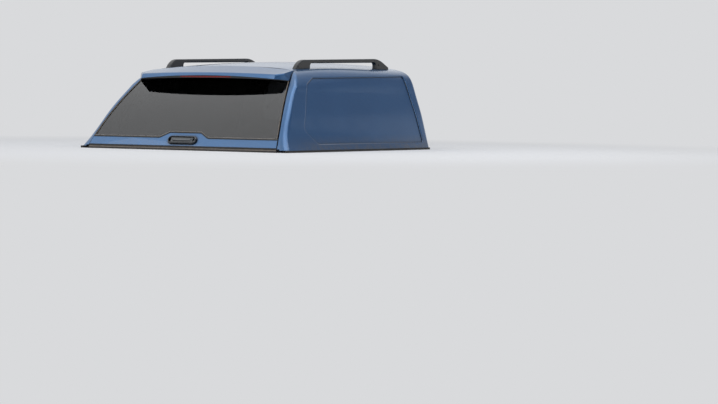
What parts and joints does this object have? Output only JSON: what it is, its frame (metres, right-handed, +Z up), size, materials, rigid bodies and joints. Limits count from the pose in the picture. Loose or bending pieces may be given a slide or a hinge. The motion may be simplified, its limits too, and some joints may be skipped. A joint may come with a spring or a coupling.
{
  "type": "pickup truck canopy",
  "caption": "Fibreglass hardtop canopy for a pickup bed: crowned roof with raised rails, leaning blank sides, and a lift-up tinted glass rear door with spoiler.",
  "frame": {"origin": "middle of the canopy's length and width, at the level that its foam strips stand on", "axes": "+X to the right seen from behind, +Y forward, +Z up"},
  "size_m": [1.5056, 1.6712, 0.5657],
  "materials": {
    "paint": "metallic blue paint on fibreglass",
    "tinted_glass": "dark grey tint",
    "red_lens": "moulded",
    "rubber": "extruded",
    "rail_black": "satin black",
    "trim_black": "moulded",
    "rod_chrome": "polished",
    "strut_black": "black paint",
    "handle_black": "polished black",
    "black_steel": "black powder coat"
  },
  "bodies": {
    "canopy": {"base_seal_front": "rubber", "base_seal_left": "rubber", "base_seal_right": "rubber", "door_seal_left": "rubber", "door_seal_right": "rubber", "door_seal_top": "rubber", "front_window_glass": "tinted_glass", "front_window_seal": "rubber", "hinge_bracket_left": "black_steel", "hinge_bracket_right": "black_steel", "rail_foot_front_left": "rail_black", "rail_foot_front_right": "rail_black", "rail_foot_rear_left": "rail_black", "rail_foot_rear_right": "rail_black", "roof_rail_left": "rail_black", "roof_rail_right": "rail_black", "shell": "paint", "striker_left": "black_steel", "striker_right": "black_steel", "strut_bracket_left": "black_steel", "strut_bracket_right": "black_steel"},
    "door": {"door_glass": "tinted_glass", "door_bottom_panel": "paint", "door_bottom_seal": "rubber", "spoiler": "paint", "spoiler_under_panel": "trim_black", "brake_light_lens": "red_lens", "hinge_arm_left": "black_steel", "hinge_arm_right": "black_steel", "door_strut_bracket_left": "black_steel", "door_strut_bracket_right": "black_steel", "latch_left": "black_steel", "latch_right": "black_steel", "latch_rod_left": "black_steel", "latch_rod_right": "black_steel", "handle_housing": "handle_black"},
    "handle": {"handle_paddle": "handle_black"},
    "left_strut_tube": {"strut_cylinder_left": "strut_black"},
    "right_strut_tube": {"strut_cylinder_right": "strut_black"},
    "left_strut_rod": {"strut_rod_left": "rod_chrome"},
    "right_strut_rod": {"strut_rod_right": "rod_chrome"}
  },
  "joints": [
    {"name": "door_hinge", "type": "hinge", "parent": "canopy", "child": "door", "pos_m": [0, -0.323, 0.47], "axis": [-1, 0, 0], "range_deg": [0, 60]},
    {"name": "handle_pull", "type": "hinge", "parent": "door", "child": "handle", "pos_m": [0, -0.80269, 0.07235], "axis": [-1, 0, 0], "range_deg": [0, 25], "stiffness_Nm_per_rad": 0.6, "springref_deg": -11.46},
    {"name": "left_strut_swing", "type": "hinge", "parent": "canopy", "child": "left_strut_tube", "pos_m": [-0.48, -0.325, 0.41], "axis": [-1, 0, 0], "range_deg": [0, 61]},
    {"name": "left_strut_slide", "type": "slide", "parent": "left_strut_tube", "child": "left_strut_rod", "axis": [0, -0.8905, -0.4551], "range_m": [0, 0.0615]},
    {"name": "right_strut_swing", "type": "hinge", "parent": "canopy", "child": "right_strut_tube", "pos_m": [0.48, -0.325, 0.41], "axis": [-1, 0, 0], "range_deg": [0, 61]},
    {"name": "right_strut_slide", "type": "slide", "parent": "right_strut_tube", "child": "right_strut_rod", "axis": [0, -0.8905, -0.4551], "range_m": [0, 0.0615]}
  ],
  "couplings": [
    {"joint": "left_strut_swing", "follows": "door_hinge", "ratio": 1.0074},
    {"joint": "left_strut_slide", "follows": "door_hinge", "m_per_rad": 0.05832},
    {"joint": "right_strut_swing", "follows": "door_hinge", "ratio": 1.0074},
    {"joint": "right_strut_slide", "follows": "door_hinge", "m_per_rad": 0.05832}
  ]
}
